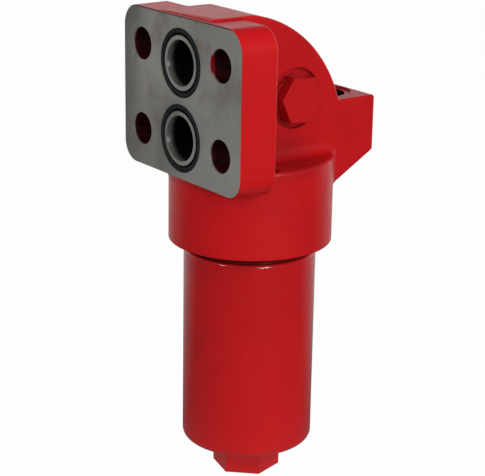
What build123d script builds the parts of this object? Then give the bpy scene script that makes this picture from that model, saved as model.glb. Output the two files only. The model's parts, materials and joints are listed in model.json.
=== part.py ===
from build123d import *
from math import acos, asin, cos, degrees, radians, sin, sqrt, tan
import os

# Flange-mounted high-pressure filter, in millimetres.
# The origin is the middle of the four flange bolts, on the machined face.
# The face looks along -Y, Z is up, and the bowl hangs on a vertical axis behind the face.

# Clearances between pieces
running_clearance = 0.06
guide_clearance = 0.24
ring_clearance = 0.05
glue_gap = 0.1

# Bolting flange
flange_width = 133.5
flange_height = 107.6
flange_thickness = 27.5
flange_draft = 3.0
flange_top_corner_radius = 15.0
flange_bottom_corner_radius = 13.5
flange_back_edge_radius = 2.0
bolt_spacing_x = 90.0
bolt_spacing_z = 58.0
bolt_hole_radius = 11.0
bolt_spotface_radius = 16.5
bolt_spotface_depth = 1.0

# Ports in the flange face, one above the other, each with a groove for a face seal
port_spacing = 50.0
port_pair_height = -1.7
port_radius = 15.25
port_lip_radius = 18.0
port_groove_radius = 22.75
port_groove_depth = 2.8
port_ring_section = 3.53
outlet_z = port_pair_height + port_spacing / 2
inlet_z = port_pair_height - port_spacing / 2

# The bowl's radius sets the collar around it, the seal and thread between them,
# and the distance of their common axis from the face
bowl_radius = 45.7
bowl_wall = 8.2
thread_step = 0.7
seal_bore_step = 2.5
thread_relief_depth = 2.0
collar_wall = 11.15
collar_setback = 2.3
bowl_bore_radius = bowl_radius - bowl_wall
thread_radius = bowl_radius - thread_step
seal_bore_radius = thread_radius - seal_bore_step
thread_relief_radius = thread_radius - thread_relief_depth
collar_radius = thread_radius + collar_wall
axis_y = collar_radius + collar_setback

# Collar of the head, with the bowl's thread and seal bore inside
collar_top_z = -43.5
collar_height = 60.4
collar_top_edge_radius = 3.0
collar_rim_edge_radius = 1.0
collar_roof_thickness = 10.5
seal_bore_length = 25.0
thread_lead_in = 1.2
collar_bottom_z = collar_top_z - collar_height
chamber_roof_z = collar_top_z - collar_roof_thickness
thread_top_z = chamber_roof_z - seal_bore_length

# Neck of the head: a flat-sided casting with a round arch, ending in the indicator block
neck_half_width = 29.0
neck_start_y = 3.0
neck_foot_start_y = 14.0
neck_edge_radius = 1.5
neck_foot_radius = 5.0
neck_top_rise = 0.8
neck_top_tilt = 1.38
collar_foot_share = 0.27
arch_rise = 2.5
arch_radius = 91.6
arch_center_y = 22.7
block_overhang = 28.4
block_top_z = -8.8
block_back_bottom_z = -47.9
block_slope = 30.0
block_slope_reach = 14.45
block_corner_radius = 3.0
block_edge_radius = 3.0
arch_center_z = flange_height / 2 + arch_rise - arch_radius
block_back_y = axis_y + collar_radius + block_overhang
slope_end_y = axis_y + collar_radius - block_slope_reach
neck_top_z = flange_height / 2 + neck_top_rise
collar_foot_radius = (collar_radius - neck_half_width) * collar_foot_share

# Indicator port on top of the rear block
indicator_inset = 23.0
indicator_spotface_radius = 19.0
indicator_spotface_depth = 1.2
indicator_radius = 14.8
indicator_depth = 15.0
indicator_duct_radius = 4.0
indicator_y = block_back_y - indicator_inset

# Bypass valve, lying across the neck behind the hexagon plug
valve_offset = 14.05
valve_z = -3.0
plug_across_flats = 30.0
plug_turn = -4.7
plug_hex_height = 9.0
plug_spotface_radius = 20.5
plug_spotface_depth = 2.5
plug_thread_radius = 13.5
plug_thread_length = 18.0
plug_seal_thickness = 2.0
plug_seal_radius = 16.2
valve_chamber_radius = 12.0
valve_seat_x = -8.0
seat_ring_length = 6.0
seat_ring_radius = 11.0
seat_ring_bore_radius = 7.0
seat_pocket_length = 8.0
seat_pocket_radius = 8.0
valve_duct_radius = 4.5
poppet_radius = 9.5
poppet_thickness = 4.0
poppet_pilot_length = 3.0
poppet_stem_radius = 4.0
poppet_lift = 4.0
spring_wire_radius = 1.2
spring_coil_radius = 7.0
spring_turns = 4.5
shim_thickness = 1.2
plug_spring_bore_radius = 9.6
plug_spring_bore_depth = 13.0
plug_guide_depth = 11.0
valve_y = axis_y + valve_offset
plug_floor_x = neck_half_width - plug_spotface_depth
plug_head_x = plug_floor_x + plug_seal_thickness
plug_end_x = plug_floor_x - plug_thread_length
spring_seat_x = plug_end_x + plug_spring_bore_depth

# Filter element: caps around a pleated medium, with a sleeve outside and a tube inside
element_drop = 8.0
element_length = 171.0
element_gap = 6.0
cap_thickness = 2.0
cap_skirt = 6.0
cap_wall = 1.2
cap_hub_length = 14.0
cap_hub_gap = 0.5
wrap_wall = 0.6
wrap_window_columns = 8
wrap_window_rows = 5
wrap_rib = 4.0
pleat_count = 36
pleat_gap = 0.4
pleat_inner_share = 0.7158
pleat_thickness = 0.7
core_wall = 1.2
core_slot_columns = 6
core_slot_rows = 7
core_rib = 8.0
element_top_z = chamber_roof_z - element_drop
element_bottom_z = element_top_z - element_length
element_radius = bowl_bore_radius - element_gap
wrap_radius = element_radius - cap_wall - glue_gap
pleat_outer_radius = wrap_radius - wrap_wall - pleat_gap
pleat_inner_radius = pleat_outer_radius * pleat_inner_share
core_radius = pleat_inner_radius - pleat_gap
cap_hub_radius = core_radius - core_wall - cap_hub_gap

# Spigot that carries the filter element
cap_hub_wall = 4.8
spigot_wall = 3.5
spigot_length = 28.0
spigot_thread_step = 2.0
spigot_thread_length = 10.0
spigot_flange_step = 2.0
spigot_flange_thickness = 5.0
spigot_ring_section = 2.0
element_ring_section = 2.6
element_ring_drop = 8.0
spigot_radius = cap_hub_radius - cap_hub_wall
spigot_bore_radius = spigot_radius - spigot_wall
spigot_thread_radius = spigot_radius + spigot_thread_step
spigot_flange_radius = spigot_thread_radius + spigot_flange_step

# Galleries cast into the head
riser_step = 3.0
riser_end_above_port = 5.0
inlet_depth = 34.0
inlet_drop_radius = 11.0
inlet_drop_inset = 0.5
riser_radius = spigot_thread_radius - riser_step
inlet_drop_y = axis_y - seal_bore_radius + inlet_drop_radius + inlet_drop_inset

# Bowl: threaded neck, seal land, long body and hexagon foot
bowl_top_gap = 3.0
thread_below_collar = 1.1
thread_relief_length = 5.0
bowl_shoulder_radius = 2.5
element_floor_gap = 5.0
bowl_floor_thickness = 13.4
bowl_floor_fillet = 8.0
bowl_bottom_edge_radius = 5.0
bowl_hex_across_flats = 41.0
bowl_hex_height = 23.1
bowl_hex_turn = -13.5
bowl_groove_depth = 2.9
bowl_groove_width = 7.0
bowl_groove_drop = 6.0
backup_ring_thickness = 2.0
bowl_top_z = chamber_roof_z - bowl_top_gap
thread_relief_top_z = collar_bottom_z - thread_below_collar
bowl_shoulder_z = thread_relief_top_z - thread_relief_length
bowl_floor_z = element_bottom_z - element_floor_gap
bowl_bottom_z = bowl_floor_z - bowl_floor_thickness
bowl_hex_bottom_z = bowl_bottom_z - bowl_hex_height
bowl_land_radius = seal_bore_radius - running_clearance
bowl_thread_radius = thread_radius - running_clearance
bowl_groove_top_z = bowl_top_z - bowl_groove_drop
bowl_groove_low_z = bowl_groove_top_z - bowl_groove_width
bowl_groove_radius = bowl_land_radius - bowl_groove_depth

# Smallest difference that counts when faces and edges are picked by size or place
nearly_nothing = 0.001

face_plane = Plane(origin=(0, 0, 0), x_dir=(-1, 0, 0), z_dir=(0, 1, 0))


def rod_z(radius, x, y, low, high):
    """A vertical cylinder between two heights."""
    return Pos(x, y, (low + high) / 2) * Cylinder(radius, high - low)


def rod_x(radius, y, z, low, high):
    """A cylinder along X between two places."""
    return Pos((low + high) / 2, y, z) * Rot(0, 90, 0) * Cylinder(radius, high - low)


def rod_y(radius, x, z, low, high):
    """A cylinder along Y between two places."""
    return Pos(x, (low + high) / 2, z) * Rot(90, 0, 0) * Cylinder(radius, high - low)


def hexagon(across_flats, turn):
    """A hexagon with a corner at the given turn from its own X axis."""
    return RegularPolygon(across_flats / sqrt(3), 6, rotation=turn)


def turned(points):
    """A solid turned about the bowl axis from (radius, height) points."""
    outline = Plane.XZ * make_face(Polyline(*points, close=True))
    return Pos(0, axis_y, 0) * revolve(outline, Axis.Z, 360)


def seal_ring(section, middle_radius):
    """A round-section seal about its own Z axis."""
    return Torus(middle_radius, section / 2)


def above(half_width):
    """Everything above the ground plane within a width, to take a casting's top down to a plane."""
    return Pos(0, 0, flange_height / 2) * Box(2 * half_width, 2 * block_back_y, flange_height)


def flange():
    """Plate that is drafted at its sides and bottom, while its top stays level."""
    body = extrude(face_plane * Rectangle(flange_width, flange_height), flange_thickness, taper=-flange_draft)
    body -= Pos(0, 0, flange_height / 2) * above(flange_width)
    for side, radius in ((1, flange_top_corner_radius), (-1, flange_bottom_corner_radius)):
        corners = []
        for edge in body.edges():
            middle = edge.center()
            if abs(middle.Y - flange_thickness / 2) < nearly_nothing and middle.Z * side > 0:
                corners.append(edge)
        body = fillet(corners, radius)
    return body


def neck():
    """Flat-sided neck: a round arch that ends in the block of the indicator port."""
    start = degrees(asin((block_top_z - arch_center_z) / arch_radius))
    end = degrees(acos((neck_start_y - arch_center_y) / arch_radius))
    arch = CenterArc((arch_center_y, arch_center_z), arch_radius, start, end - start)
    arch_foot = arch @ 0
    slope_run = block_back_y - slope_end_y
    slope_end_z = block_back_bottom_z - slope_run * tan(radians(block_slope))
    edge = Polyline(
        arch_foot,
        (block_back_y, block_top_z),
        (block_back_y, block_back_bottom_z),
        (slope_end_y, slope_end_z),
        (neck_foot_start_y, slope_end_z),
        (neck_foot_start_y, collar_top_z),
        (neck_start_y, collar_top_z),
        arch @ 1,
    )
    outline = make_face(arch + edge)
    for corner in ((arch_foot.X, arch_foot.Y), (block_back_y, block_back_bottom_z)):
        vertex = outline.vertices().sort_by_distance(corner)[0]
        outline = fillet(vertex, block_corner_radius)
    return extrude(Plane.YZ * outline, neck_half_width, both=True)


def collar():
    body = rod_z(collar_radius, 0, axis_y, collar_bottom_z, collar_top_z)
    rims = body.edges().filter_by(GeomType.CIRCLE).sort_by(Axis.Z)
    body = fillet(rims[-1], collar_top_edge_radius)
    rims = body.edges().filter_by(GeomType.CIRCLE).sort_by(Axis.Z)
    return fillet(rims[0], collar_rim_edge_radius)


def cheek_edges(body):
    """Edges that lie in one of the neck's two side planes."""
    found = []
    for edge in body.edges():
        box = edge.bounding_box()
        if box.size.X < nearly_nothing and abs(abs(box.center().X) - neck_half_width) < nearly_nothing:
            found.append(edge)
    return found


def rooted_flange():
    """Flange with the start of the neck behind it, rounded where the two meet."""
    root_end_y = flange_thickness + 2 * neck_foot_radius
    root_height = flange_height / 2 - collar_top_z
    root = Box(2 * neck_half_width, root_end_y - neck_start_y, root_height)
    root = Pos(0, (neck_start_y + root_end_y) / 2, flange_height / 2 - root_height / 2) * root
    body = flange() + root
    feet = []
    for edge in cheek_edges(body):
        if abs(edge.center().Y - flange_thickness) < nearly_nothing:
            feet.append(edge)
    body = fillet(feet, neck_foot_radius)

    back_edges = []
    for face in body.faces().filter_by(Axis.Y):
        if abs(face.center().Y - flange_thickness) < nearly_nothing:
            back_edges += [e for e in face.edges() if abs(e.center().X) > neck_half_width + neck_foot_radius]
    return fillet(back_edges, flange_back_edge_radius)


def casting():
    """The head's outer form, before its galleries are cut."""
    body = rooted_flange() + neck() + collar()
    feet = []
    for edge in cheek_edges(body):
        if edge.geom_type == GeomType.LINE and abs(edge.center().Z - collar_top_z) < nearly_nothing:
            feet.append(edge)
    body = fillet(feet, collar_foot_radius)

    block_edges = []
    for edge in body.edges():
        middle = edge.center()
        if edge.geom_type == GeomType.LINE and abs(middle.Y - block_back_y) < nearly_nothing:
            if abs(middle.Z - block_back_bottom_z) > block_corner_radius:
                block_edges.append(edge)
    body = fillet(block_edges, block_edge_radius)

    arch_edges = []
    for edge in cheek_edges(body):
        behind_root = edge.center().Y > flange_thickness + neck_foot_radius + nearly_nothing
        if behind_root and edge.center().Z > block_top_z - nearly_nothing:
            arch_edges.append(edge)
    body = fillet(arch_edges, neck_edge_radius)

    crest = Pos(0, 0, neck_top_z) * Rot(0, -neck_top_tilt, 0) * above(neck_half_width + neck_edge_radius)
    return body - crest


def port_groove(z):
    """Seal groove of one port, which leaves a lip around its bore."""
    groove = rod_y(port_groove_radius, 0, z, 0, port_groove_depth)
    groove -= rod_y(port_lip_radius, 0, z, 0, port_groove_depth)
    return groove


def galleries():
    """Everything that is machined or cored out of the head."""
    cuts = [port_groove(outlet_z), port_groove(inlet_z)]
    cuts.append(rod_y(port_radius, 0, outlet_z, 0, axis_y))
    cuts.append(rod_z(riser_radius, 0, axis_y, chamber_roof_z, outlet_z + riser_end_above_port))
    cuts.append(rod_y(port_radius, 0, inlet_z, 0, inlet_depth))
    cuts.append(rod_z(inlet_drop_radius, 0, inlet_drop_y, chamber_roof_z, inlet_z))

    cuts.append(rod_z(seal_bore_radius, 0, axis_y, thread_top_z, chamber_roof_z))
    cuts.append(rod_z(thread_radius, 0, axis_y, collar_bottom_z, thread_top_z))
    lead_in = Cone(thread_radius + thread_lead_in, thread_radius, thread_lead_in)
    cuts.append(Pos(0, axis_y, collar_bottom_z + thread_lead_in / 2) * lead_in)
    spigot_top_z = chamber_roof_z + spigot_thread_length
    cuts.append(rod_z(spigot_thread_radius, 0, axis_y, chamber_roof_z, spigot_top_z))

    spotface_top_z = block_top_z + 2 * indicator_spotface_radius
    spotface_z = block_top_z - indicator_spotface_depth
    cuts.append(rod_z(indicator_spotface_radius, 0, indicator_y, spotface_z, spotface_top_z))
    cuts.append(rod_z(indicator_radius, 0, indicator_y, spotface_z - indicator_depth, spotface_z))
    duct_y = axis_y + seal_bore_radius - 2 * indicator_duct_radius
    duct_z = spotface_z - indicator_depth + 2 * indicator_duct_radius
    cuts.append(rod_y(indicator_duct_radius, 0, duct_z, duct_y, indicator_y))
    cuts.append(rod_z(indicator_duct_radius, 0, duct_y, chamber_roof_z, duct_z))

    cuts.append(rod_x(plug_spotface_radius, valve_y, valve_z, plug_floor_x, 2 * neck_half_width))
    cuts.append(rod_x(plug_thread_radius, valve_y, valve_z, plug_end_x, plug_floor_x))
    cuts.append(rod_x(valve_chamber_radius, valve_y, valve_z, valve_seat_x, plug_end_x))
    seat_back_x = valve_seat_x - seat_ring_length
    pocket_end_x = seat_back_x - seat_pocket_length
    cuts.append(rod_x(seat_ring_radius, valve_y, valve_z, seat_back_x, valve_seat_x))
    cuts.append(rod_x(seat_pocket_radius, valve_y, valve_z, pocket_end_x, seat_back_x))
    duct_x = (seat_back_x + pocket_end_x) / 2
    cuts.append(rod_z(valve_duct_radius, duct_x, valve_y, chamber_roof_z, valve_z))

    for place in GridLocations(bolt_spacing_x, bolt_spacing_z, 2, 2):
        x, _, z = face_plane.from_local_coords(place.position)
        spotface_y = flange_thickness - bolt_spotface_depth
        cuts.append(rod_y(bolt_hole_radius, x, z, 0, flange_thickness))
        cuts.append(rod_y(bolt_spotface_radius, x, z, spotface_y, flange_thickness + bolt_spotface_radius))
    return cuts


def filter_head():
    return casting() - galleries()


def port_seal(z):
    ring_radius = port_groove_radius - ring_clearance - port_ring_section / 2
    ring_y = port_groove_depth - port_ring_section / 2
    return Pos(0, ring_y, z) * Rot(90, 0, 0) * seal_ring(port_ring_section, ring_radius)


def along_valve():
    """Place for a valve piece that is built about its own Z axis, from the head's middle plane outwards."""
    return Pos(0, valve_y, valve_z) * Rot(0, 90, 0)


def bypass_plug():
    hexagon_face = Plane.YZ * Pos(valve_y, valve_z) * hexagon(plug_across_flats, plug_turn)
    body = extrude(Pos(plug_head_x, 0, 0) * hexagon_face, plug_hex_height)
    body += rod_x(plug_thread_radius - running_clearance, valve_y, valve_z, plug_end_x, plug_head_x)
    body -= rod_x(plug_spring_bore_radius, valve_y, valve_z, plug_end_x, spring_seat_x)
    guide_radius = poppet_stem_radius + running_clearance
    guide_end_x = spring_seat_x + plug_guide_depth
    return body - rod_x(guide_radius, valve_y, valve_z, spring_seat_x, guide_end_x)


def bypass_plug_seal():
    washer = rod_x(plug_seal_radius, valve_y, valve_z, plug_floor_x, plug_head_x)
    return washer - rod_x(plug_thread_radius, valve_y, valve_z, plug_floor_x, plug_head_x)


def bypass_seat():
    seat_back_x = valve_seat_x - seat_ring_length
    ring = rod_x(seat_ring_radius - ring_clearance, valve_y, valve_z, seat_back_x, valve_seat_x)
    return ring - rod_x(seat_ring_bore_radius, valve_y, valve_z, seat_back_x, valve_seat_x)


def bypass_poppet():
    back_x = valve_seat_x + poppet_thickness
    pilot_x = valve_seat_x - poppet_pilot_length
    stem_end_x = spring_seat_x + plug_guide_depth - poppet_lift - shim_thickness
    plate = rod_x(poppet_radius, valve_y, valve_z, valve_seat_x, back_x)
    pilot = rod_x(seat_ring_bore_radius - guide_clearance, valve_y, valve_z, pilot_x, valve_seat_x)
    stem = rod_x(poppet_stem_radius, valve_y, valve_z, back_x, stem_end_x)
    return plate + pilot + stem


def bypass_spring_shim():
    low = spring_seat_x - shim_thickness
    disc = rod_x(plug_spring_bore_radius - ring_clearance, valve_y, valve_z, low, spring_seat_x)
    return disc - rod_x(poppet_stem_radius + guide_clearance, valve_y, valve_z, low, spring_seat_x)


def bypass_spring():
    low = valve_seat_x + poppet_thickness + ring_clearance
    high = spring_seat_x - shim_thickness - ring_clearance
    height = high - low - 2 * spring_wire_radius
    path = Helix(height / spring_turns, height, spring_coil_radius)
    start = Plane(origin=path @ 0, z_dir=path % 0)
    coil = sweep(start * Circle(spring_wire_radius), path=path, is_frenet=True)
    return along_valve() * Pos(0, 0, low + spring_wire_radius) * coil


def element_spigot():
    top_z = chamber_roof_z + spigot_thread_length
    flange_z = chamber_roof_z - spigot_flange_thickness
    body = rod_z(spigot_thread_radius - running_clearance, 0, axis_y, chamber_roof_z, top_z)
    collar_disc = rod_z(spigot_flange_radius, 0, axis_y, flange_z, chamber_roof_z)
    flats = Pos(0, axis_y, (flange_z + chamber_roof_z) / 2)
    flats *= Box(2 * spigot_thread_radius, 2 * spigot_flange_radius, spigot_flange_thickness)
    body += collar_disc & flats
    body += rod_z(spigot_radius, 0, axis_y, chamber_roof_z - spigot_length, flange_z)
    body -= rod_z(spigot_bore_radius, 0, axis_y, chamber_roof_z - spigot_length, top_z)
    groove_z = chamber_roof_z - spigot_ring_section
    outer = rod_z(spigot_thread_radius, 0, axis_y, groove_z, chamber_roof_z)
    inner = rod_z(spigot_radius, 0, axis_y, groove_z, chamber_roof_z)
    return body - (outer - inner)


def spigot_o_ring():
    middle_radius = (spigot_thread_radius + spigot_radius) / 2
    section = spigot_ring_section - 2 * ring_clearance
    return Pos(0, axis_y, chamber_roof_z - spigot_ring_section / 2) * seal_ring(section, middle_radius)


def sleeve(radius, wall, low, high):
    """A thin tube on the bowl axis."""
    return rod_z(radius, 0, axis_y, low, high) - rod_z(radius - wall, 0, axis_y, low, high)


def windows(radius, columns, rows, rib, low, high):
    """Cutters for rows of openings in a sleeve, with equal ribs left between them."""
    pitch = (high - low + rib) / rows
    height = pitch - rib
    width = 2 * radius * sin(radians(180 / columns)) - rib
    cutters = []
    for row in range(rows):
        place = Pos(0, axis_y, low + row * pitch + height / 2)
        for column in range(columns // 2):
            turn = Rot(0, 0, column * 360 / columns)
            cutters.append(place * turn * Box(2 * (radius + rib), width, height))
    return cutters


def element_top_cap():
    """Pressed cap with an outer skirt and a hub that slides on the spigot."""
    bore = spigot_radius + running_clearance
    low_z = element_top_z - cap_thickness
    hub_z = element_top_z - cap_hub_length
    skirt_z = element_top_z - cap_skirt
    cap = turned([
        (bore, element_top_z),
        (element_radius, element_top_z),
        (element_radius, skirt_z),
        (element_radius - cap_wall, skirt_z),
        (element_radius - cap_wall, low_z),
        (cap_hub_radius, low_z),
        (cap_hub_radius, hub_z),
        (bore, hub_z),
    ])
    groove_top = element_top_z - element_ring_drop + element_ring_section / 2 + ring_clearance
    groove_low = groove_top - element_ring_section - 2 * ring_clearance
    groove_radius = bore + element_ring_section + ring_clearance
    groove = rod_z(groove_radius, 0, axis_y, groove_low, groove_top)
    return cap - groove


def element_bottom_cap():
    high_z = element_bottom_z + cap_thickness
    skirt_z = element_bottom_z + cap_skirt
    hub_z = element_bottom_z + cap_hub_length
    return turned([
        (0, element_bottom_z),
        (element_radius, element_bottom_z),
        (element_radius, skirt_z),
        (element_radius - cap_wall, skirt_z),
        (element_radius - cap_wall, high_z),
        (cap_hub_radius, high_z),
        (cap_hub_radius, hub_z),
        (cap_hub_radius - cap_wall, hub_z),
        (cap_hub_radius - cap_wall, high_z),
        (0, high_z),
    ])


def element_o_ring():
    middle_radius = spigot_radius + running_clearance + element_ring_section / 2
    return Pos(0, axis_y, element_top_z - element_ring_drop) * seal_ring(element_ring_section, middle_radius)


def element_core_tube():
    """Slotted tube that carries the pleats against the flow."""
    tube_low = element_bottom_z + cap_thickness + glue_gap
    tube_high = element_top_z - cap_thickness - glue_gap
    slot_low = element_bottom_z + cap_hub_length + core_rib
    slot_high = element_top_z - cap_hub_length - core_rib
    tube = sleeve(core_radius, core_wall, tube_low, tube_high)
    return tube - windows(core_radius, core_slot_columns, core_slot_rows, core_rib, slot_low, slot_high)


def element_pleats():
    """Filter medium folded into a star of pleats."""
    outer = []
    inner = []
    half = 180 / pleat_count
    for fold in range(pleat_count):
        angle = fold * 360 / pleat_count
        outer.append(polar(pleat_outer_radius, angle))
        outer.append(polar(pleat_inner_radius + pleat_thickness, angle + half))
        inner.append(polar(pleat_outer_radius - pleat_thickness, angle))
        inner.append(polar(pleat_inner_radius, angle + half))
    star = make_face(Polyline(*outer, close=True)) - make_face(Polyline(*inner, close=True))
    length = element_length - 2 * cap_thickness - 2 * glue_gap
    low = element_bottom_z + cap_thickness + glue_gap
    return Pos(0, axis_y, low) * extrude(star, length)


def polar(radius, angle):
    return (radius * cos(radians(angle)), radius * sin(radians(angle)))


def element_outer_wrap():
    """Windowed sleeve that holds the pleats together from outside."""
    wrap_low = element_bottom_z + cap_thickness + glue_gap
    wrap_high = element_top_z - cap_thickness - glue_gap
    window_low = element_bottom_z + cap_skirt + wrap_rib
    window_high = element_top_z - cap_skirt - wrap_rib
    wrap = sleeve(wrap_radius, wrap_wall, wrap_low, wrap_high)
    return wrap - windows(wrap_radius, wrap_window_columns, wrap_window_rows, wrap_rib, window_low, window_high)


def bowl():
    """Deep steel bowl with a threaded neck, a seal land and a hexagon foot."""
    body = turned([
        (0, bowl_bottom_z),
        (bowl_radius, bowl_bottom_z),
        (bowl_radius, bowl_shoulder_z),
        (thread_relief_radius, bowl_shoulder_z),
        (thread_relief_radius, thread_relief_top_z),
        (bowl_thread_radius, thread_relief_top_z),
        (bowl_thread_radius, thread_top_z),
        (bowl_land_radius, thread_top_z),
        (bowl_land_radius, bowl_top_z),
        (0, bowl_top_z),
    ])
    circles = body.edges().filter_by(GeomType.CIRCLE)
    wide = circles.filter_by(lambda e: abs(e.radius - bowl_radius) < nearly_nothing).sort_by(Axis.Z)
    body = fillet(wide[0], bowl_bottom_edge_radius)
    circles = body.edges().filter_by(GeomType.CIRCLE)
    wide = circles.filter_by(lambda e: abs(e.radius - bowl_radius) < nearly_nothing).sort_by(Axis.Z)
    body = fillet(wide[-1], bowl_shoulder_radius)

    bore = rod_z(bowl_bore_radius, 0, axis_y, bowl_floor_z, bowl_top_z)
    bore = fillet(bore.edges().filter_by(GeomType.CIRCLE).sort_by(Axis.Z)[0], bowl_floor_fillet)
    groove = rod_z(seal_bore_radius, 0, axis_y, bowl_groove_low_z, bowl_groove_top_z)
    groove -= rod_z(bowl_groove_radius, 0, axis_y, bowl_groove_low_z, bowl_groove_top_z)
    foot = Pos(0, axis_y, bowl_hex_bottom_z) * hexagon(bowl_hex_across_flats, bowl_hex_turn)
    body += extrude(foot, bowl_bottom_z - bowl_hex_bottom_z + bowl_bottom_edge_radius)
    return body - bore - groove


def bowl_o_ring():
    section = seal_bore_radius - bowl_groove_radius - 2 * ring_clearance
    middle_radius = bowl_groove_radius + ring_clearance + section / 2
    z = bowl_groove_top_z - 2 * ring_clearance - section / 2
    return Pos(0, axis_y, z) * seal_ring(section, middle_radius)


def bowl_backup_ring():
    low = bowl_groove_low_z + ring_clearance
    high = low + backup_ring_thickness
    ring = rod_z(seal_bore_radius - ring_clearance, 0, axis_y, low, high)
    return ring - rod_z(bowl_groove_radius + ring_clearance, 0, axis_y, low, high)


pieces = {
    "filter_head": filter_head,
    "outlet_o_ring": lambda: port_seal(outlet_z),
    "inlet_o_ring": lambda: port_seal(inlet_z),
    "bypass_plug": bypass_plug,
    "bypass_plug_seal": bypass_plug_seal,
    "bypass_seat": bypass_seat,
    "bypass_poppet": bypass_poppet,
    "bypass_spring_shim": bypass_spring_shim,
    "bypass_spring": bypass_spring,
    "element_spigot": element_spigot,
    "spigot_o_ring": spigot_o_ring,
    "element_top_cap": element_top_cap,
    "element_bottom_cap": element_bottom_cap,
    "element_o_ring": element_o_ring,
    "element_core_tube": element_core_tube,
    "element_pleats": element_pleats,
    "element_outer_wrap": element_outer_wrap,
    "bowl": bowl,
    "bowl_o_ring": bowl_o_ring,
    "bowl_backup_ring": bowl_backup_ring,
}

if __name__ == "__main__":
    os.makedirs("parts", exist_ok=True)
    for name, make in pieces.items():
        export_step(make(), f"parts/{name}.step")
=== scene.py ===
import json
from math import cos, pi, radians, sin

import bmesh
import bpy
from mathutils import Matrix, Vector


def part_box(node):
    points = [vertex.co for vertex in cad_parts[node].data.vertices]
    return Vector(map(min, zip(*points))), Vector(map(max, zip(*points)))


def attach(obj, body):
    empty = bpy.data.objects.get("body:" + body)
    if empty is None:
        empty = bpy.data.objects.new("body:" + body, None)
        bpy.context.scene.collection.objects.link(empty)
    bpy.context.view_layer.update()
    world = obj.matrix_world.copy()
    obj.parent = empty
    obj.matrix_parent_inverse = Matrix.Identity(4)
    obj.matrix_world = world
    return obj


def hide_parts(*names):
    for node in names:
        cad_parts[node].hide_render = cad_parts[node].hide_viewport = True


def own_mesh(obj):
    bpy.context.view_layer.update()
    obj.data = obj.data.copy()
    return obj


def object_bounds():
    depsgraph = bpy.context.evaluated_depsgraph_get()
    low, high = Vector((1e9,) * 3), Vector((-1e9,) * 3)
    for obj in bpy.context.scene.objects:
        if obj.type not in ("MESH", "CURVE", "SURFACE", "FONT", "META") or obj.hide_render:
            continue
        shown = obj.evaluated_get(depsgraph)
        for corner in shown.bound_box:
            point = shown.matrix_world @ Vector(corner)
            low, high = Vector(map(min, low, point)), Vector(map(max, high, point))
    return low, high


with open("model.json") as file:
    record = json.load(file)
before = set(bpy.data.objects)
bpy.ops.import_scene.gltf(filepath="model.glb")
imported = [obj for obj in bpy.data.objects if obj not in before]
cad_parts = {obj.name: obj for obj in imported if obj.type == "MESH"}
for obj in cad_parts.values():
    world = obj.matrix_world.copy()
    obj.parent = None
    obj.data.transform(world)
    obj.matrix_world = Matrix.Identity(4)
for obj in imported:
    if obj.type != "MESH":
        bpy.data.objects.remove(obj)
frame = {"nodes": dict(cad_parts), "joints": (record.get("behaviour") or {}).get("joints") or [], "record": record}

cad_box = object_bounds()
nodes = frame["nodes"]

# The photograph's camera, found from the edges of the flange, the collar and the bowl
photo_width = 485
sensor_width_mm = 36.0
seen_distance = 100.0
focal_length_px = 1563.5
camera_place = Vector((0.82248, -0.55892, 0.22498))
camera_azimuth = radians(53.386)
camera_elevation = radians(17.818)
camera_roll = radians(-0.959)

# Lights: direction they come from (azimuth, elevation in degrees), distance and size in metres, watts,
# and whether they show in reflections
lights = {
    "key": (83.0, 14.0, 1.6, 0.56, 7.8, True),
    "front": (4.0, 30.0, 1.6, 0.27, 3.0, True),
    "right_fill": (102.0, 33.0, 1.6, 0.40, 6.2, False),
    "left_fill": (-25.0, -4.0, 1.6, 1.00, 1.6, False),
}
light_target = Vector((0.0, 0.05, -0.09))

# The studio round the object: bright at eye level, dark overhead. In reflections there is a white wall in
# one direction: it starts and is full where a direction's share towards it has these values
horizon_level = 0.95
zenith_level = 0.09
wall_direction = (-0.80, 0.60)
wall_starts = 0.25
wall_full = 0.8
reflected_front_level = 0.05
reflected_wall_top = 0.62

# Places on the head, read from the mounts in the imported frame
mm_per_metre = 1000
mounts = {mount["name"]: mount for mount in frame["record"]["mounts"]}
bolts = mounts["manifold_bolts"]["dims"]
bolt_x = bolts["spacing_x_mm"] / 2 / mm_per_metre
bolt_z = bolts["spacing_y_mm"] / 2 / mm_per_metre
bolt_radius = bolts["hole_r_mm"] / mm_per_metre
port_radius = mounts["outlet_port"]["dims"]["r_mm"] / mm_per_metre
outlet_z = mounts["outlet_port"]["pos_m"][2]
inlet_z = mounts["inlet_port"]["pos_m"][2]
indicator_place = Vector(mounts["indicator_port"]["pos_m"])
indicator_radius = mounts["indicator_port"]["dims"]["r_mm"] / mm_per_metre
indicator_depth = mounts["indicator_port"]["dims"]["length_mm"] / mm_per_metre

# Places on the head that no mount gives, in metres
indicator_duct_radius = 0.0040
indicator_mouth_z = -0.0100
indicator_floor_z = indicator_mouth_z - indicator_depth
face_half_width = 0.06675
face_top_z = 0.0538
groove_radius = 0.0229
groove_depth = 0.0029
collar_bore_radius = 0.0464
chamber_roof_z = -0.0540

# The upright axis that the bowl and the chamber in the head share
bowl_low, bowl_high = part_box("bowl")
axis_y = (bowl_low.y + bowl_high.y) / 2

# How far a polygon may lie from the place it belongs to, and how squarely the face's polygons look forwards
edge_margin = 0.0001
facing_forwards = -0.9

# How far the joints move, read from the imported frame
travel = {joint["name"]: max(joint["range_m"]) for joint in frame["joints"] if joint["type"] == "slide"}

# Floor: it lies so low that the unscrewed bowl stays clear of it, as the flange carries the filter
floor_half_size = 12.0
floor_clearance = 0.002
floor_z = cad_box[0].z - travel["bowl_drop"] - floor_clearance
floor_white = 0.92
floor_white_share = 0.97
floor_bounce_near = 0.75
floor_bounce_far = 0.20
floor_bounce_radius = 0.08
floor_bounce_end = 0.36
floor_glow_level = 0.12
floor_glow_radius = 0.12
floor_glow_end = 0.26
floor_dim_until = 0.10
floor_white_from = 1.2

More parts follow.
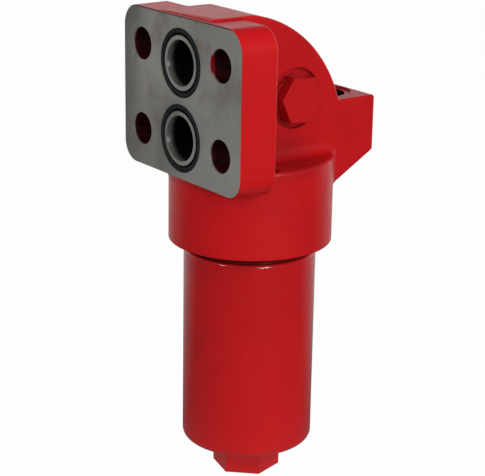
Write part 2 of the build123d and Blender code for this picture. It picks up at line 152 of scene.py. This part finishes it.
# Thread of the bowl: ridges in the gap under the collar, and a texture on the bare neck above it
thread_pitch = 0.0015
thread_root_radius = 0.0430
thread_crest_radius = 0.0447
thread_high_z = -0.1050
thread_low_z = -0.1099
thread_steps_per_turn = 120
thread_fade_steps = 12
thread_flank_share = 0.45
thread_crest_share = 0.06
gap_margin = 0.0004
gap_floor_z = thread_low_z - gap_margin
bare_above_z = -0.1042
bare_edge_width = 0.0004
bare_metallic = 0.9
bare_thread_depth = 0.0007

# Blender's wave texture has this many radians to a unit of its scale
wave_texture_factor = 20

# Textures below: features are counted per metre, and a window is the part of the noise that shows

# Red enamel
enamel_roughness = 0.42
enamel_specular = 0.2
cloud_features = 18
cloud_window = (0.32, 0.70)
tone_and_shade_share = 0.5
gloss_features = 160
gloss_window = (0.3, 0.75)
gloss_range = (0.36, 0.48)
wave_features = 75
grain_features = 900

# How far the enamel rounds off the sharp edges
edge_softness = 0.0009
edge_samples = 6

# Painted shade in corners: ambient occlusion darkens the enamel's colour there: how far that reaches and how much
# it shows
corner_reach = 0.007
corner_shade_depth = 0.45
corner_window = (0.35, 0.85)
corner_samples = 8
corner_shade_red = (104, 16, 18)

# The foot of the neck above the collar is darkened with painted shade: middle, reach, soft rim, stretch and share
# of that patch
foot_center = (0.0, 0.058, -0.036)
foot_reach = 0.017
foot_fade = 0.012
foot_squeeze = (0.0, 0.45, 1.0)
foot_shade_share = 0.42

# Ragged rims of patches
rag_features = 340
blotch_raggedness = 0.004

# Paint that ran out of a bolt hole
smear_center = (bolt_x - bolt_radius, 0.0, bolt_z - 0.0008)
smear_reach = 0.0062
smear_fade = 0.0022
smear_squeeze = (1.0, 1.5, 0.62)
smear_raggedness = 0.0012
smear_ring_width = 0.0019
smear_ring_fade = 0.0005
smear_ring_raggedness = 0.0018

# Bare iron of the face
face_roughness = 0.42
face_metallic = 0.45
face_cloud_features = 20
face_cloud_window = (0.30, 0.72)
fleck_features = 600
fleck_window = (0.45, 0.65)
fleck_share = 0.16
stain_features = 34
stain_roughness = 0.62
stain_window = (0.48, 0.66)
stain_share = 0.65
stain_share_at_foot = 0.35
lit_reach = 0.095
lit_fade = 0.075
lit_share = 0.7
shaded_width = 0.022
shaded_share = 0.7
shaded_corner_reach = 0.034
shaded_corner_fade = 0.032
rim_line_width = 0.0012
rim_line_fade = 0.0008
mark_features = 140
mark_stretch = (1.0, 1.0, 34.0)
mark_window = (0.3, 0.7)
mark_roughness = (0.38, 0.50)
mark_depth = 0.00003
mark_strength = 0.5
smear_gloss_on_face = 0.25

# Walls of the holes in the face
hole_roughness = 0.42
hole_specular = 0.15
hole_mark_turn = 0.25
hole_cloud_features = 160
hole_edge_features = 220
hole_grain_features = 300
hole_grain_depth = 0.00004
hole_window = (0.3, 0.7)

# The bare mouth of a hole fades out over some times its depth, along a curve, with a ragged edge
mouth_reach = 2
mouth_curve = 2.0
mouth_raggedness = 0.2
smear_gloss_in_hole = 0.2

# Bare metal, and the soft pieces
metal_mark_features = 120
metal_mark_depth = 0.00002
metal_mark_strength = 0.6
metal_window = (0.3, 0.7)
metal_dark_share = 0.8
metal_glossier = 0.06
metal_duller = 0.08
speck_window = (0.35, 0.65)
speck_gloss_window = (0.3, 0.7)
speck_dark_share = 0.86
speck_gloss_change = 0.08
speck_depth = 0.00005
speck_strength = 0.5

# Colours, as they are seen, from 0 to 255
paint_red = (207, 18, 24)
# The deep red below is the enamel's random deeper tone and also the dark end of its painted shade
paint_deep_and_shaded = (186, 15, 20)
iron_light = (172, 169, 162)
iron_dark = (139, 137, 130)
iron_stain = (106, 94, 82)
# Painted light: the lighter iron towards the face's lower right
iron_lit = (186, 186, 180)
iron_shade = (92, 89, 82)
bore_bright = (196, 196, 190)
# Painted shade: near-black deep inside the ports, in the grooves and the chamber
bore_shade_black = (14, 14, 13)
rubber_black = (40, 45, 45)
steel_grey = (150, 150, 152)
wire_grey = (120, 120, 124)
zinc_grey = (168, 168, 162)
medium_cream = (226, 220, 203)
sleeve_grey = (205, 204, 198)
seal_cream = (222, 214, 190)
# Paint in the bolt and indicator holes: red overspray, darkened with painted shade
hole_red_shaded = (76, 12, 12)
hole_shade_dark = (36, 7, 7)
hole_bare = (240, 236, 230)
smear_red = (150, 22, 28)
# Painted shade: the darker reds of the enamel in the gap under the collar
gap_shade_red = (124, 9, 13)
gap_shade_deep = (96, 7, 10)
edge_line = (74, 22, 22)


def linear(color):
    """A colour as it is seen, turned into the linear values that Blender uses, by the sRGB curve."""
    values = []
    for part in color:
        share = part / 255
        values.append(share / 12.92 if share <= 0.04045 else ((share + 0.055) / 1.055) ** 2.4)
    return (*values, 1.0)


class Shader:
    """A material under construction, with short calls for the nodes used here."""

    def __init__(self, name, color, roughness, metallic=0.0, coat=0.0, coat_roughness=0.1, specular=0.5):
        self.material = bpy.data.materials.new(name)
        self.material.use_nodes = True
        self.tree = self.material.node_tree
        self.surface = self.tree.nodes["Principled BSDF"]
        self.surface.inputs["Base Color"].default_value = linear(color)
        self.surface.inputs["Roughness"].default_value = roughness
        self.surface.inputs["Metallic"].default_value = metallic
        self.surface.inputs["Coat Weight"].default_value = coat
        self.surface.inputs["Coat Roughness"].default_value = coat_roughness
        self.surface.inputs["Specular IOR Level"].default_value = specular
        self.place = self.tree.nodes.new("ShaderNodeTexCoord").outputs["Object"]

    def link(self, source, target):
        self.tree.links.new(source, target)

    def noise(self, scale, detail=3.0, stretch=(1.0, 1.0, 1.0), roughness=0.5):
        """Noise with that many features per metre along each axis."""
        mapping = self.tree.nodes.new("ShaderNodeMapping")
        mapping.inputs["Scale"].default_value = [scale * part for part in stretch]
        self.link(self.place, mapping.inputs["Vector"])
        texture = self.tree.nodes.new("ShaderNodeTexNoise")
        texture.inputs["Scale"].default_value = 1.0
        texture.inputs["Detail"].default_value = detail
        texture.inputs["Roughness"].default_value = roughness
        self.link(mapping.outputs["Vector"], texture.inputs["Vector"])
        return texture.outputs["Fac"]

    def ramp(self, value, low, high, out_low=0.0, out_high=1.0):
        """A value stretched from one range to another and kept inside it."""
        node = self.tree.nodes.new("ShaderNodeMapRange")
        node.inputs["From Min"].default_value = low
        node.inputs["From Max"].default_value = high
        node.inputs["To Min"].default_value = out_low
        node.inputs["To Max"].default_value = out_high
        self.link(value, node.inputs["Value"])
        return node.outputs["Result"]

    def math(self, operation, first, second):
        node = self.tree.nodes.new("ShaderNodeMath")
        node.operation = operation
        for socket, value in zip(node.inputs, (first, second)):
            if isinstance(value, (int, float)):
                socket.default_value = value
            else:
                self.link(value, socket)
        return node.outputs["Value"]

    def mix(self, share, first, second):
        """A mix of two colours; either may be a plain colour or a socket."""
        node = self.tree.nodes.new("ShaderNodeMix")
        node.data_type = "RGBA"
        self.link(share, node.inputs["Factor"])
        for socket, value in ((node.inputs[6], first), (node.inputs[7], second)):
            if isinstance(value, tuple):
                socket.default_value = linear(value)
            else:
                self.link(value, socket)
        return node.outputs[2]

    def bump(self, height, distance, strength=1.0, below=None):
        node = self.tree.nodes.new("ShaderNodeBump")
        node.inputs["Strength"].default_value = strength
        node.inputs["Distance"].default_value = distance
        self.link(height, node.inputs["Height"])
        if below is not None:
            self.link(below, node.inputs["Normal"])
        return node.outputs["Normal"]

    def axis(self, letter):
        """How far along one of the object's axes a place lies, in metres."""
        node = self.tree.nodes.new("ShaderNodeSeparateXYZ")
        self.link(self.place, node.inputs["Vector"])
        return node.outputs[letter]

    def spot(self, center, reach, fade, squeeze=(1.0, 1.0, 1.0), raggedness=0.0):
        """1 round a place on the object and 0 beyond its reach, with a soft or a ragged rim."""
        offset = self.tree.nodes.new("ShaderNodeVectorMath")
        offset.operation = "SUBTRACT"
        self.link(self.place, offset.inputs[0])
        offset.inputs[1].default_value = center
        squeezed = self.tree.nodes.new("ShaderNodeVectorMath")
        squeezed.operation = "MULTIPLY"
        self.link(offset.outputs["Vector"], squeezed.inputs[0])
        squeezed.inputs[1].default_value = squeeze
        length = self.tree.nodes.new("ShaderNodeVectorMath")
        length.operation = "LENGTH"
        self.link(squeezed.outputs["Vector"], length.inputs[0])
        ragged = self.math("MULTIPLY", self.noise(rag_features, detail=2), raggedness)
        away = self.math("ADD", length.outputs["Value"], ragged)
        return self.ramp(away, reach - fade, reach, 1.0, 0.0)

    def set(self, socket, value):
        self.link(value, self.surface.inputs[socket])


def red_paint(name, bright, deep, fade, wave_depth, grain_depth, coat, coat_roughness):
    """Gloss enamel: its colour varies at random and, as painted shade, darkens along an axis and in corners; its
    film is wavy and shows the grain underneath.
    """
    shader = Shader(name, bright, enamel_roughness, coat=coat, coat_roughness=coat_roughness,
                    specular=enamel_specular)
    cloud = shader.ramp(shader.noise(cloud_features, detail=4), *cloud_window, 0.0, tone_and_shade_share)
    # Painted shade: the colour darkens from bright to deep along the given axis
    letter, bright_at, deep_at = fade
    along = shader.ramp(shader.axis(letter), bright_at, deep_at, 0.0, tone_and_shade_share)
    tone_and_shade = shader.math("ADD", cloud, along)
    # Painted shade: ambient occlusion darkens the colour in corners and creases
    corner = shader.tree.nodes.new("ShaderNodeAmbientOcclusion")
    corner.samples = corner_samples
    corner.inputs["Distance"].default_value = corner_reach
    corner_shade = shader.ramp(corner.outputs["AO"], *corner_window, corner_shade_depth, 0.0)
    shader.set("Base Color", shader.mix(corner_shade, shader.mix(tone_and_shade, bright, deep), corner_shade_red))
    gloss = shader.ramp(shader.noise(gloss_features, detail=5), *gloss_window, *gloss_range)
    shader.set("Roughness", gloss)
    soft_edges = shader.tree.nodes.new("ShaderNodeBevel")
    soft_edges.samples = edge_samples
    soft_edges.inputs["Radius"].default_value = edge_softness
    waves = shader.noise(wave_features, detail=2)
    wave = shader.bump(waves, wave_depth, below=soft_edges.outputs["Normal"])
    grain = shader.bump(shader.noise(grain_features, detail=4), grain_depth, below=wave)
    shader.set("Normal", grain)
    return shader


def shade_neck_foot(shader):
    """The foot of the neck, just above the collar, is darkened with painted shade."""
    foot = shader.spot(foot_center, foot_reach, foot_fade, foot_squeeze)
    paint = shader.surface.inputs["Base Color"].links[0].from_socket
    shader.set("Base Color", shader.mix(shader.math("MULTIPLY", foot, foot_shade_share), paint, corner_shade_red))


def bare_thread(shader):
    """Above the gap under the collar the bowl's neck is bare steel with a thread."""
    bare = shader.ramp(shader.axis("Z"), bare_above_z, bare_above_z + bare_edge_width)
    paint = shader.surface.inputs["Base Color"].links[0].from_socket
    film = shader.surface.inputs["Normal"].links[0].from_socket
    shader.set("Base Color", shader.mix(bare, paint, steel_grey))
    shader.set("Metallic", shader.math("MULTIPLY", bare, bare_metallic))
    thread = shader.tree.nodes.new("ShaderNodeTexWave")
    thread.bands_direction = "Z"
    thread.inputs["Scale"].default_value = 2 * pi / (wave_texture_factor * thread_pitch)
    shader.link(shader.place, thread.inputs["Vector"])
    ridges = shader.math("MULTIPLY", thread.outputs["Fac"], bare)
    shader.set("Normal", shader.bump(ridges, bare_thread_depth, below=film))


def paint_smear(shader):
    """Paint that ran out of the upper bolt hole on the plug's side, over its wall and some of the face."""
    beside = shader.spot(smear_center, smear_reach, smear_fade, smear_squeeze, smear_raggedness)
    around = shader.spot((bolt_x, 0.0, bolt_z), bolt_radius + smear_ring_width, smear_ring_fade,
                         (1.0, 0.0, 1.0), smear_ring_raggedness)
    return shader.math("MULTIPLY", beside, around)


def machined_iron():
    """Milled flange face: fine cutter marks, clouds and stains, painted light towards its lower right, painted
    shade at its left edge and upper left corner, and the paint that ran over its edges.
    """
    shader = Shader("machined_iron", iron_light, face_roughness, metallic=face_metallic)
    cloud = shader.ramp(shader.noise(face_cloud_features, detail=3), *face_cloud_window)
    fleck = shader.ramp(shader.noise(fleck_features, detail=3), *fleck_window, 0.0, fleck_share)
    color = shader.mix(shader.math("ADD", cloud, fleck), iron_light, iron_dark)
    stains = shader.noise(stain_features, detail=5, roughness=stain_roughness)
    stain = shader.ramp(stains, *stain_window, 0.0, stain_share)
    upward = shader.ramp(shader.axis("Z"), -face_top_z, face_top_z / 2, stain_share_at_foot, 1.0)
    color = shader.mix(shader.math("MULTIPLY", stain, upward), color, iron_stain)
    # Painted light: the face is lighter towards its lower right
    lower_right = (face_half_width, 0.0, -face_top_z)
    lit_patch = shader.spot(lower_right, lit_reach, lit_fade, raggedness=blotch_raggedness)
    color = shader.mix(shader.math("MULTIPLY", lit_patch, lit_share), color, iron_lit)
    left_edge = -face_half_width
    shade = shader.ramp(shader.axis("X"), left_edge, left_edge + shaded_width, shaded_share, 0.0)
    color = shader.mix(shade, color, iron_shade)
    upper_left = (left_edge, 0.0, face_top_z)
    corner = shader.spot(upper_left, shaded_corner_reach, shaded_corner_fade, raggedness=blotch_raggedness)
    color = shader.mix(corner, color, iron_shade)
    line_z = face_top_z - rim_line_width
    rim = shader.ramp(shader.axis("Z"), line_z, line_z + rim_line_fade, 0.0, 1.0)
    color = shader.mix(rim, color, edge_line)
    smear = paint_smear(shader)
    color = shader.mix(smear, color, smear_red)
    shader.set("Base Color", color)
    marks = shader.noise(mark_features, detail=4, stretch=mark_stretch)
    rough = shader.ramp(marks, *mark_window, *mark_roughness)
    gloss = shader.math("MULTIPLY", smear, smear_gloss_on_face)
    shader.set("Roughness", shader.math("SUBTRACT", rough, gloss))
    shader.set("Metallic", shader.ramp(smear, 0.0, 1.0, face_metallic, 0.0))
    shader.set("Normal", shader.bump(marks, mark_depth, mark_strength))
    return shader.material


def hole_wall(name, mouth_color, mouth_depth, colors, anisotropic):
    """Wall of a hole in the face: bare, bright and turned at the mouth; further in its colours are darker, which
    is painted shade.
    """
    shader = Shader(name, mouth_color, hole_roughness, specular=hole_specular)
    shader.surface.inputs["Anisotropic"].default_value = anisotropic
    shader.surface.inputs["Anisotropic Rotation"].default_value = hole_mark_turn
    round_about = shader.tree.nodes.new("ShaderNodeVectorMath")
    round_about.operation = "CROSS_PRODUCT"
    normal = shader.tree.nodes.new("ShaderNodeNewGeometry").outputs["Normal"]
    shader.link(normal, round_about.inputs[0])
    round_about.inputs[1].default_value = (0.0, 1.0, 0.0)
    shader.set("Tangent", round_about.outputs["Vector"])
    cloud = shader.ramp(shader.noise(hole_cloud_features, detail=4), *hole_window)
    inside = shader.mix(cloud, *colors)
    ragged = shader.math("MULTIPLY", shader.noise(hole_edge_features), mouth_depth * mouth_raggedness)
    depth = shader.math("ADD", shader.axis("Y"), ragged)
    shallow = shader.ramp(depth, 0.0, mouth_depth * mouth_reach, 1.0, 0.0)
    mouth = shader.math("POWER", shallow, mouth_curve)
    smear = paint_smear(shader)
    shader.set("Base Color", shader.mix(smear, shader.mix(mouth, inside, mouth_color), smear_red))
    bare = shader.math("SUBTRACT", mouth, smear)
    shader.set("Metallic", shader.math("MAXIMUM", bare, 0.0))
    gloss = shader.math("MULTIPLY", smear, smear_gloss_in_hole)
    shader.set("Roughness", shader.math("SUBTRACT", hole_roughness, gloss))
    shader.set("Normal", shader.bump(shader.noise(hole_grain_features, detail=3), hole_grain_depth))
    return shader.material


def bare_metal(name, color, roughness, stretch):
    """Turned or drawn metal: fine marks, packed along the axis with the largest stretch."""
    shader = Shader(name, color, roughness, metallic=bare_metallic)
    marks = shader.noise(metal_mark_features, detail=3, stretch=stretch)
    tint = shader.ramp(marks, *metal_window)
    dark = tuple(part * metal_dark_share for part in color)
    shader.set("Base Color", shader.mix(tint, color, dark))
    gloss = shader.ramp(marks, *metal_window, roughness - metal_glossier, roughness + metal_duller)
    shader.set("Roughness", gloss)
    shader.set("Normal", shader.bump(marks, metal_mark_depth, metal_mark_strength))
    return shader.material


def soft_material(name, color, roughness, grain, specular=0.5):
    """Rubber, plastic or filter medium with a fine grain."""
    shader = Shader(name, color, roughness, specular=specular)
    specks = shader.noise(grain, detail=4)
    dark = tuple(part * speck_dark_share for part in color)
    shader.set("Base Color", shader.mix(shader.ramp(specks, *speck_window), color, dark))
    gloss = shader.ramp(specks, *speck_gloss_window, roughness - speck_gloss_change,
                        roughness + speck_gloss_change)
    shader.set("Roughness", gloss)
    shader.set("Normal", shader.bump(specks, speck_depth, speck_strength))
    return shader.material


# The axis along which the enamel's colour is darkened as painted shade, and the places where it is bright and deep
shade_towards_back = ("Y", 0.015, 0.075)
shade_towards_top = ("Z", -0.255, -0.165)

on_casting = red_paint("red_paint_on_casting", paint_red, paint_deep_and_shaded, shade_towards_back,
                       wave_depth=0.00022, grain_depth=0.00004, coat=0.3, coat_roughness=0.2)
on_plug = red_paint("red_paint_on_plug", paint_red, paint_deep_and_shaded, shade_towards_back,
                    wave_depth=0.00006, grain_depth=0.00001, coat=1.0, coat_roughness=0.04)
on_bowl = red_paint("red_paint_on_bowl", paint_red, paint_deep_and_shaded, shade_towards_top,
                    wave_depth=0.00006, grain_depth=0.00001, coat=1.0, coat_roughness=0.04)
# Painted shade: the enamel in the gap under the collar is darkened
shaded_gap = red_paint("red_paint_shaded_in_gap", gap_shade_red, gap_shade_deep, shade_towards_top,
                   wave_depth=0.00004, grain_depth=0.00001, coat=0.6, coat_roughness=0.08)
# Painted shade at the foot of the neck on the casting
shade_neck_foot(on_casting)
bare_thread(shaded_gap)
paint_on_casting = on_casting.material
paint_on_plug = on_plug.material
paint_on_bowl = on_bowl.material
paint_shaded_in_gap = shaded_gap.material

face_metal = machined_iron()
bore_metal = hole_wall("port_bore", bore_bright, mouth_depth=0.0034, colors=(bore_shade_black, bore_shade_black),
                       anisotropic=0.9)
# Painted shade: near-black metal for the grooves and the chamber
shaded_metal = bare_metal("shaded_bore", bore_shade_black, 0.5, stretch=(1.0, 30.0, 1.0))
turned_steel = bare_metal("turned_steel", steel_grey, 0.32, stretch=(1.0, 1.0, 30.0))
wire_steel = bare_metal("wire_steel", wire_grey, 0.35, stretch=(8.0, 8.0, 8.0))
zinc_sheet = bare_metal("zinc_sheet", zinc_grey, 0.38, stretch=(4.0, 4.0, 4.0))
black_rubber = soft_material("black_rubber", rubber_black, 0.8, grain=500, specular=0.15)
filter_medium = soft_material("filter_medium", medium_cream, 0.85, grain=900)
sleeve_plastic = soft_material("sleeve_plastic", sleeve_grey, 0.5, grain=300)
seal_plastic = soft_material("seal_plastic", seal_cream, 0.4, grain=400)
# Bolt and indicator holes: bare at the mouth, red overspray darkened with painted shade further in
hole_paint = hole_wall("red_paint_in_holes", hole_bare, mouth_depth=0.0009, colors=(hole_red_shaded, hole_shade_dark),
                       anisotropic=0.8)

node_materials = {
    "bowl": paint_on_bowl,
    "bypass_plug": paint_on_plug,
    "bypass_plug_seal": paint_on_plug,
    "bypass_seat": turned_steel,
    "bypass_poppet": turned_steel,
    "bypass_spring_shim": turned_steel,
    "bypass_spring": wire_steel,
    "element_spigot": turned_steel,
    "element_top_cap": zinc_sheet,
    "element_bottom_cap": zinc_sheet,
    "element_core_tube": zinc_sheet,
    "element_pleats": filter_medium,
    "element_outer_wrap": sleeve_plastic,
    "outlet_o_ring": black_rubber,
    "inlet_o_ring": black_rubber,
    "spigot_o_ring": black_rubber,
    "element_o_ring": black_rubber,
    "bowl_o_ring": black_rubber,
    "bowl_backup_ring": seal_plastic,
}
for name, material in node_materials.items():
    nodes[name].data.materials.clear()
    nodes[name].data.materials.append(material)


def dress_head():
    """The head is painted outside; its face is bare, and so is what was machined after painting."""
    head = nodes["filter_head"].data
    head.materials.clear()
    paint, face, port, hole, inside = range(5)
    for material in (paint_on_casting, face_metal, bore_metal, hole_paint, shaded_metal):
        head.materials.append(material)
    for polygon in head.polygons:
        x, y, z = polygon.center
        from_bolt = Vector((abs(x) - bolt_x, abs(z) - bolt_z)).length
        from_port = min(Vector((x, z - port_z)).length for port_z in (outlet_z, inlet_z))
        from_axis = Vector((x, y - axis_y)).length
        from_indicator = Vector((x - indicator_place.x, y - indicator_place.y)).length
        at_its_height = indicator_floor_z - edge_margin < z < indicator_mouth_z + edge_margin
        in_indicator = at_its_height and from_indicator < indicator_radius + edge_margin
        from_duct = Vector((x - indicator_place.x, z - indicator_place.z)).length
        in_duct = from_duct < indicator_duct_radius + edge_margin and axis_y < y < indicator_place.y
        if polygon.normal.y < facing_forwards and y < edge_margin:
            polygon.material_index = face
        elif from_bolt < bolt_radius + edge_margin:
            polygon.material_index = hole
        elif in_indicator or in_duct:
            polygon.material_index = hole
        elif from_port < port_radius + edge_margin and y < axis_y:
            polygon.material_index = port
        # Painted shade: the grooves and the chamber take the near-black metal
        elif y < groove_depth and from_port < groove_radius:
            polygon.material_index = inside
        elif from_axis < collar_bore_radius and z < chamber_roof_z + edge_margin:
            polygon.material_index = inside
        else:
            polygon.material_index = paint


def dress_bowl():
    """In the gap under the collar the bowl's paint is darkened as painted shade, and above it the steel is bare.
    """
    bowl = nodes["bowl"].data
    gap_index = len(bowl.materials)
    bowl.materials.append(paint_shaded_in_gap)
    for polygon in bowl.polygons:
        if polygon.center.z > gap_floor_z:
            polygon.material_index = gap_index


def thread_ridges():
    """Helical ridges of the bowl's thread, seen in the gap between collar and shoulder."""
    mesh = bmesh.new()
    turns = (thread_high_z - thread_low_z) / thread_pitch - 1
    steps = int(turns * thread_steps_per_turn)
    rings = []
    for step in range(steps + 1):
        angle = 2 * pi * step / thread_steps_per_turn
        z = thread_high_z - thread_pitch / 2 - thread_pitch * step / thread_steps_per_turn
        fade = min(1.0, step / thread_fade_steps, (steps - step) / thread_fade_steps)
        crest = thread_root_radius + (thread_crest_radius - thread_root_radius) * fade
        profile = (
            (thread_root_radius, z + thread_pitch * thread_flank_share),
            (crest, z + thread_pitch * thread_crest_share),
            (crest, z - thread_pitch * thread_crest_share),
            (thread_root_radius, z - thread_pitch * thread_flank_share),
        )
        ring = []
        for radius, height in profile:
            ring.append(mesh.verts.new((radius * cos(angle), axis_y + radius * sin(angle), height)))
        rings.append(ring)
    for first, second in zip(rings, rings[1:]):
        for corner in range(len(first) - 1):
            mesh.faces.new((first[corner], second[corner], second[corner + 1], first[corner + 1]))
    data = bpy.data.meshes.new("bowl_thread_ridges")
    mesh.to_mesh(data)
    mesh.free()
    ridges = bpy.data.objects.new("bowl_thread_ridges", data)
    bpy.context.scene.collection.objects.link(ridges)
    data.materials.append(paint_shaded_in_gap)
    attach(ridges, "bowl")


def bypass_coil():
    """A copy of the bypass spring in its own mesh, carried by the head, in place of the hidden original."""
    coil = bpy.data.objects.new("bypass_spring_coil", nodes["bypass_spring"].data.copy())
    coil.matrix_world = nodes["bypass_spring"].matrix_world.copy()
    bpy.context.scene.collection.objects.link(coil)
    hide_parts("bypass_spring")
    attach(coil, "head")
    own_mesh(coil)


def make_camera():
    """The photograph's camera."""
    back = Vector((
        sin(camera_azimuth) * cos(camera_elevation),
        -cos(camera_azimuth) * cos(camera_elevation),
        sin(camera_elevation),
    ))
    right = Vector((cos(camera_azimuth), sin(camera_azimuth), 0.0))
    down = (-back).cross(right)
    rolled_right = right * cos(camera_roll) + down * sin(camera_roll)
    rolled_down = down * cos(camera_roll) - right * sin(camera_roll)
    data = bpy.data.cameras.new("camera")
    data.sensor_width = sensor_width_mm
    data.sensor_fit = "HORIZONTAL"
    data.lens = data.sensor_width * focal_length_px / photo_width
    data.clip_end = seen_distance
    camera = bpy.data.objects.new("camera", data)
    axes = Matrix((rolled_right, -rolled_down, back)).transposed().to_4x4()
    camera.matrix_world = Matrix.Translation(camera_place) @ axes
    bpy.context.scene.collection.objects.link(camera)
    bpy.context.scene.camera = camera


def make_lights():
    """Round lamps that look at the object, each at its place round it."""
    for name, (azimuth, elevation, distance, size, watts, mirrored) in lights.items():
        data = bpy.data.lights.new(name, "AREA")
        data.shape = "DISK"
        data.size = size
        data.energy = watts
        light = bpy.data.objects.new(name, data)
        flat = cos(radians(elevation))
        direction = Vector((
            sin(radians(azimuth)) * flat,
            -cos(radians(azimuth)) * flat,
            sin(radians(elevation)),
        ))
        light.location = light_target + direction * distance
        light.visible_glossy = mirrored
        light.rotation_euler = direction.to_track_quat("Z", "Y").to_euler()
        bpy.context.scene.collection.objects.link(light)


def studio_node(tree, kind, **sockets):
    """A node with some of its inputs set by name, to values or to other nodes' outputs."""
    node = tree.nodes.new(kind)
    for name, value in sockets.items():
        socket = node.inputs[name.replace("_", " ")]
        if isinstance(value, bpy.types.NodeSocket):
            tree.links.new(value, socket)
        else:
            socket.default_value = value
    return node


def towards_wall(tree, place):
    """How far a place or a direction lies towards the white wall."""
    node = tree.nodes.new("ShaderNodeVectorMath")
    node.operation = "DOT_PRODUCT"
    tree.links.new(place, node.inputs[0])
    node.inputs[1].default_value = (*wall_direction, 0.0)
    return node.outputs["Value"]


def make_world():
    """White for the camera; in reflections a white wall on one side; soft light that falls off overhead."""
    world = bpy.data.worlds.new("studio")
    bpy.context.scene.world = world
    world.use_nodes = True
    tree = world.node_tree
    place = tree.nodes.new("ShaderNodeTexCoord").outputs["Generated"]
    height = tree.nodes.new("ShaderNodeSeparateXYZ")
    tree.links.new(place, height.inputs["Vector"])
    soft = studio_node(tree, "ShaderNodeMapRange", Value=height.outputs["Z"],
                       To_Min=horizon_level, To_Max=zenith_level)
    wall = studio_node(tree, "ShaderNodeMapRange", Value=towards_wall(tree, place),
                       From_Min=wall_starts, From_Max=wall_full, To_Min=reflected_front_level, To_Max=1.0)
    fall = studio_node(tree, "ShaderNodeMapRange", Value=height.outputs["Z"], From_Max=reflected_wall_top,
                       To_Min=1.0, To_Max=0.0)
    mirrored = tree.nodes.new("ShaderNodeMath")
    mirrored.operation = "MULTIPLY"
    tree.links.new(wall.outputs["Result"], mirrored.inputs[0])
    tree.links.new(fall.outputs["Result"], mirrored.inputs[1])
    path = tree.nodes.new("ShaderNodeLightPath")
    glossy = studio_node(tree, "ShaderNodeMix", Factor=path.outputs["Is Glossy Ray"],
                         A=soft.outputs["Result"], B=mirrored.outputs["Value"])
    level = studio_node(tree, "ShaderNodeMix", Factor=path.outputs["Is Camera Ray"],
                        A=glossy.outputs["Result"], B=1.0)
    sky = tree.nodes["Background"]
    sky.inputs["Color"].default_value = (1.0, 1.0, 1.0, 1.0)
    tree.links.new(level.outputs["Result"], sky.inputs["Strength"])


def make_floor():
    """A white floor that keeps a soft shadow, throws light back and looks white in reflections."""
    signs = [(-1, -1), (1, -1), (1, 1), (-1, 1)]
    corners = [(x * floor_half_size, y * floor_half_size, floor_z) for x, y in signs]
    data = bpy.data.meshes.new("floor")
    data.from_pydata(corners, [], [(0, 1, 2, 3)])
    material = bpy.data.materials.new("studio_floor")
    material.use_nodes = True
    tree = material.node_tree
    tree.nodes.remove(tree.nodes["Principled BSDF"])
    lit = studio_node(tree, "ShaderNodeBsdfDiffuse", Color=(floor_white, floor_white, floor_white, 1.0))
    white = tree.nodes.new("ShaderNodeEmission")
    place = tree.nodes.new("ShaderNodeTexCoord").outputs["Object"]
    level = studio_node(tree, "ShaderNodeMapRange", Value=towards_wall(tree, place),
                        From_Min=floor_dim_until, From_Max=floor_white_from,
                        To_Min=reflected_front_level, To_Max=1.0)
    away = tree.nodes.new("ShaderNodeVectorMath")
    away.operation = "DISTANCE"
    tree.links.new(place, away.inputs[0])
    away.inputs[1].default_value = (0.0, axis_y, floor_z)
    glow = studio_node(tree, "ShaderNodeMapRange", Value=away.outputs["Value"],
                       From_Min=floor_glow_radius, From_Max=floor_glow_end,
                       To_Min=floor_glow_level, To_Max=0.0)
    paleness = studio_node(tree, "ShaderNodeMapRange", Value=away.outputs["Value"],
                           From_Min=floor_bounce_radius, From_Max=floor_bounce_end,
                           To_Min=floor_bounce_near, To_Max=floor_bounce_far)
    bounce = studio_node(tree, "ShaderNodeBsdfDiffuse", Color=paleness.outputs["Result"])
    brighter = tree.nodes.new("ShaderNodeMath")
    brighter.operation = "MAXIMUM"
    tree.links.new(level.outputs["Result"], brighter.inputs[0])
    tree.links.new(glow.outputs["Result"], brighter.inputs[1])
    mirrored = studio_node(tree, "ShaderNodeEmission", Strength=brighter.outputs["Value"])
    path = tree.nodes.new("ShaderNodeLightPath")

    def mix_shaders(share, first, second):
        node = tree.nodes.new("ShaderNodeMixShader")
        if isinstance(share, float):
            node.inputs["Fac"].default_value = share
        else:
            tree.links.new(share, node.inputs["Fac"])
        tree.links.new(first.outputs[0], node.inputs[1])
        tree.links.new(second.outputs[0], node.inputs[2])
        return node

    seen = mix_shaders(floor_white_share, lit, white)
    unseen = mix_shaders(path.outputs["Is Glossy Ray"], bounce, mirrored)
    choice = mix_shaders(path.outputs["Is Camera Ray"], unseen, seen)
    tree.links.new(choice.outputs["Shader"], tree.nodes["Material Output"].inputs["Surface"])
    floor = bpy.data.objects.new("floor", data)
    data.materials.append(material)
    bpy.context.scene.collection.objects.link(floor)


dress_head()
dress_bowl()
thread_ridges()
bypass_coil()
make_camera()
make_lights()
make_world()
make_floor()
bpy.context.scene.view_settings.view_transform = "Standard"
